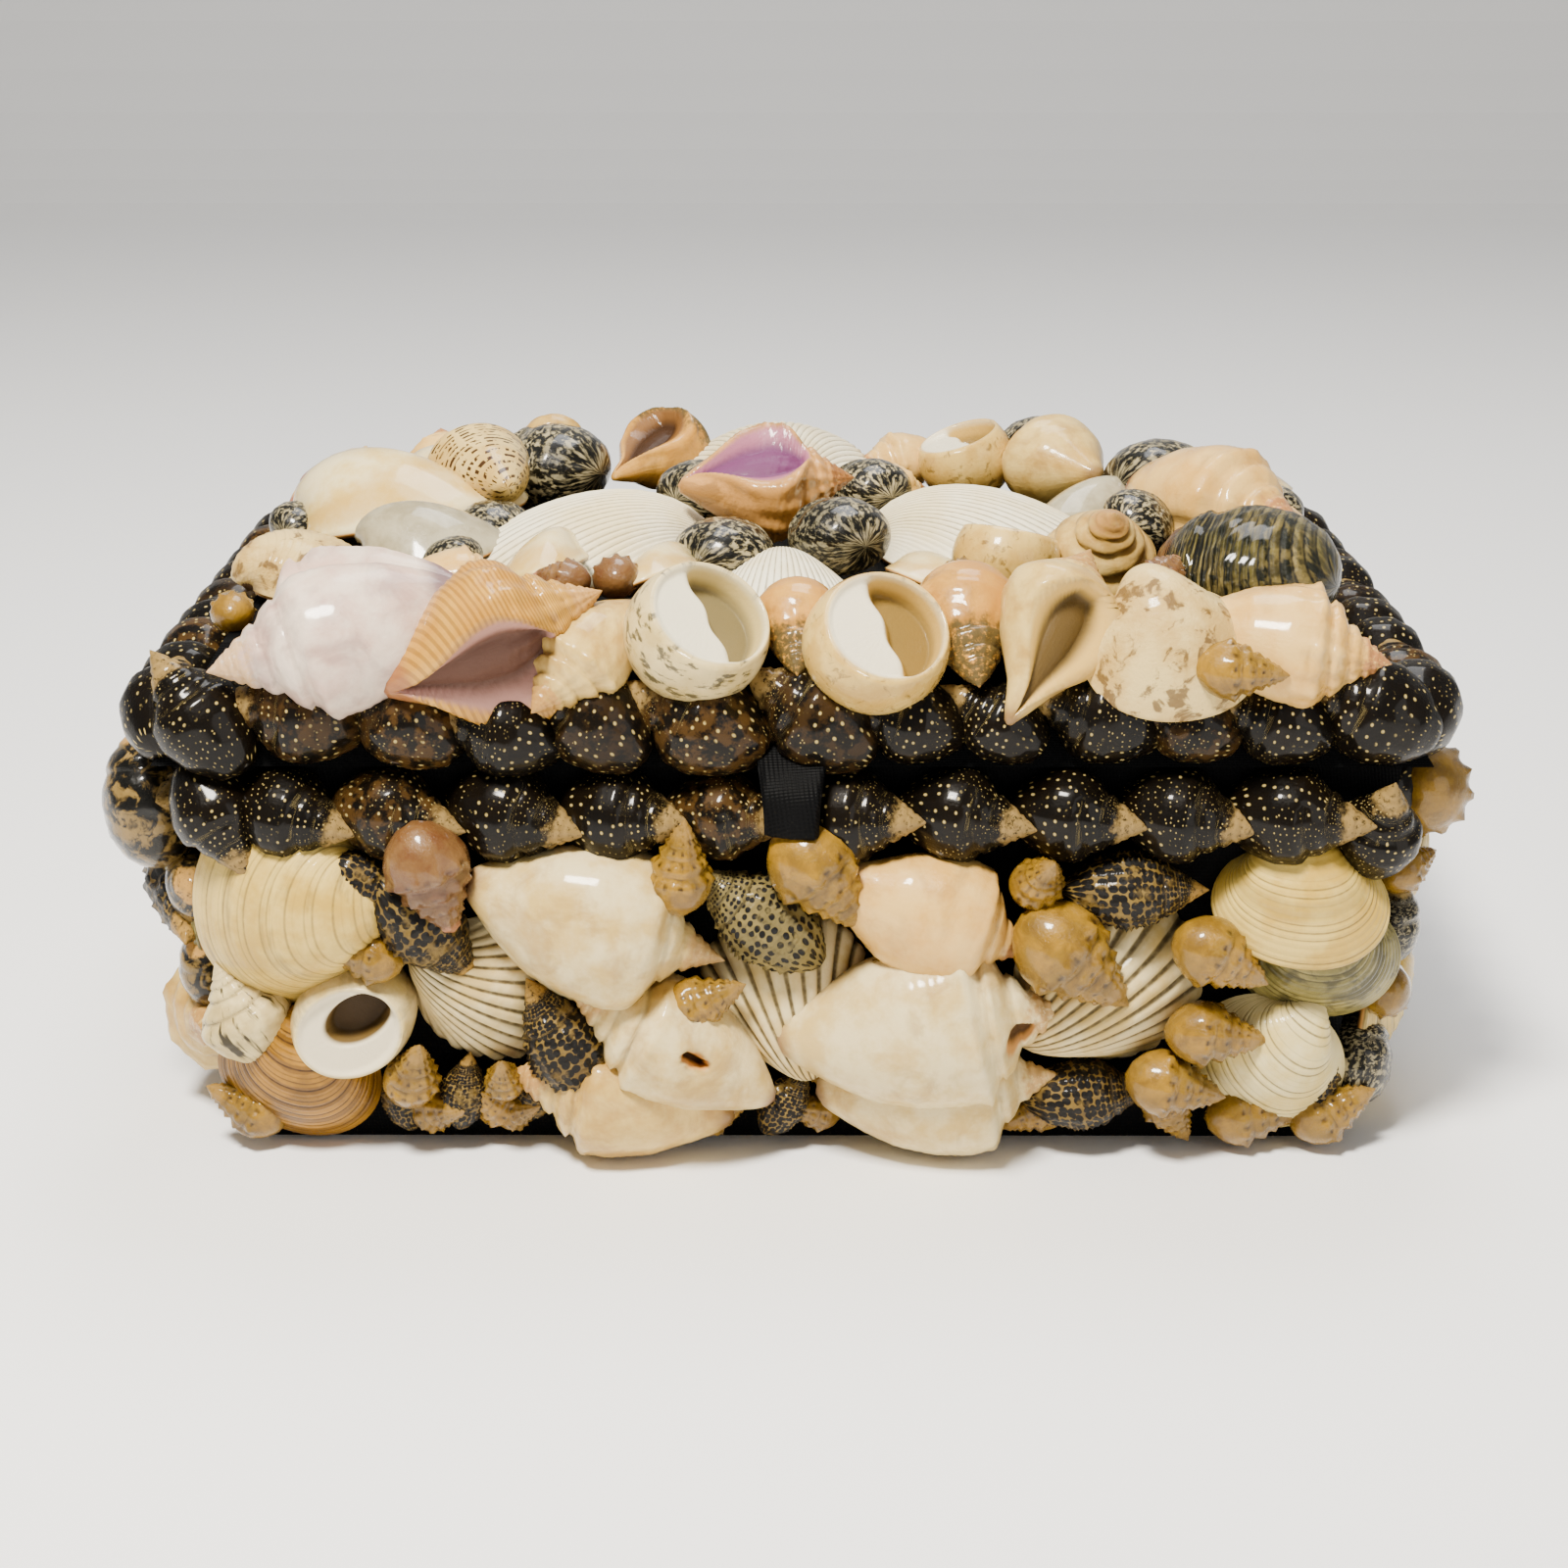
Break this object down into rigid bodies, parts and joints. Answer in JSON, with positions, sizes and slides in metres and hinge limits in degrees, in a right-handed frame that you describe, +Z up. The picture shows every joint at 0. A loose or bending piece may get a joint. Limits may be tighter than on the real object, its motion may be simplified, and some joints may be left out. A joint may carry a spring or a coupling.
{
  "type": "shell box",
  "caption": "Rectangular keepsake box covered with sea shells, with a hip-sided lid on a cloth hinge and a ribbon tab to lift it.",
  "frame": {"origin": "centre of the flat underside", "axes": "+X along the length, to the right seen from the front; +Y to the hinge side; +Z up"},
  "size_m": [0.2586, 0.1778, 0.125],
  "materials": {
    "black_cloth": "plain black book cloth over board",
    "hinge_cloth": "plain black book cloth",
    "ribbon": "black ribbed ribbon",
    "dark_shell": "near-black varnished shell with pale dots and worn pale spires",
    "mixed_shell": "varnished shells of mixed kinds",
    "speckled_shell": "varnished shell, black and white speckles",
    "white_shell": "white bleached shell",
    "cream_shell": "cream varnished shell",
    "tan_shell": "tan to orange varnished shell",
    "grey_shell": "grey-brown rough shell, dark spots in rows"
  },
  "bodies": {
    "box": {"box_boards": "black_cloth", "hinge_cloth_box": "hinge_cloth", "box_dark_row_front": "dark_shell", "box_left_shells": "mixed_shell", "box_right_shells": "mixed_shell", "box_back_shells": "mixed_shell", "cream_conch_upper_left": "cream_shell", "blush_conch_upper": "cream_shell", "white_conch_lower_right": "cream_shell", "white_conch_lower_left": "cream_shell", "cream_conch_foot_left": "cream_shell", "cream_conch_foot_right": "cream_shell", "grey_drupe_centre": "grey_shell", "grey_drupe_right": "grey_shell", "grey_drupe_slanted": "grey_shell", "streaked_whelk_corner": "white_shell", "cream_clam_upper_left": "cream_shell", "cream_clam_upper_right": "cream_shell", "olive_clam_right": "grey_shell", "white_clam_lower_right": "white_shell", "orange_clam_lower_left": "tan_shell", "white_nerite_ring": "white_shell", "ribbed_cockle_left": "white_shell", "ribbed_cockle_centre": "white_shell", "ribbed_cockle_right": "white_shell"},
    "lid": {"lid_boards": "black_cloth", "hinge_cloth_lid": "hinge_cloth", "pull_ribbon": "ribbon", "lid_dark_row_front": "dark_shell", "lid_dark_row_left": "dark_shell", "lid_dark_row_right": "dark_shell", "centre_violet_shell": "tan_shell", "centre_nerite_left": "speckled_shell", "centre_nerite_right": "speckled_shell", "centre_nerite_back_left": "speckled_shell", "centre_nerite_back_right": "speckled_shell", "petal_left": "white_shell", "petal_right": "white_shell", "petal_back": "white_shell", "petal_front": "white_shell", "moon_shell_left": "cream_shell", "spotted_cone_left": "cream_shell", "striped_clam_left": "cream_shell", "speckled_nerite_back": "speckled_shell", "tan_conch_back": "tan_shell", "upturned_nerite_back": "cream_shell", "cream_whelk_back": "cream_shell", "blush_conch_right": "cream_shell", "banded_nerite_right": "speckled_shell", "upturned_nerite_right": "cream_shell", "upturned_nerite_speckled": "speckled_shell", "upturned_nerite_cream": "cream_shell", "open_conch_front": "cream_shell", "lilac_conch_front": "white_shell", "ribbed_whelk_front": "tan_shell", "spotted_clam_front": "cream_shell", "blush_conch_front": "cream_shell", "tan_conch_front": "tan_shell", "pale_conch_front": "cream_shell", "small_conch_front": "tan_shell"}
  },
  "joints": [
    {"name": "lid_hinge", "type": "hinge", "parent": "box", "child": "lid", "pos_m": [0, 0.072, 0.07825], "axis": [-1, 0, 0], "range_deg": [0, 100]}
  ]
}
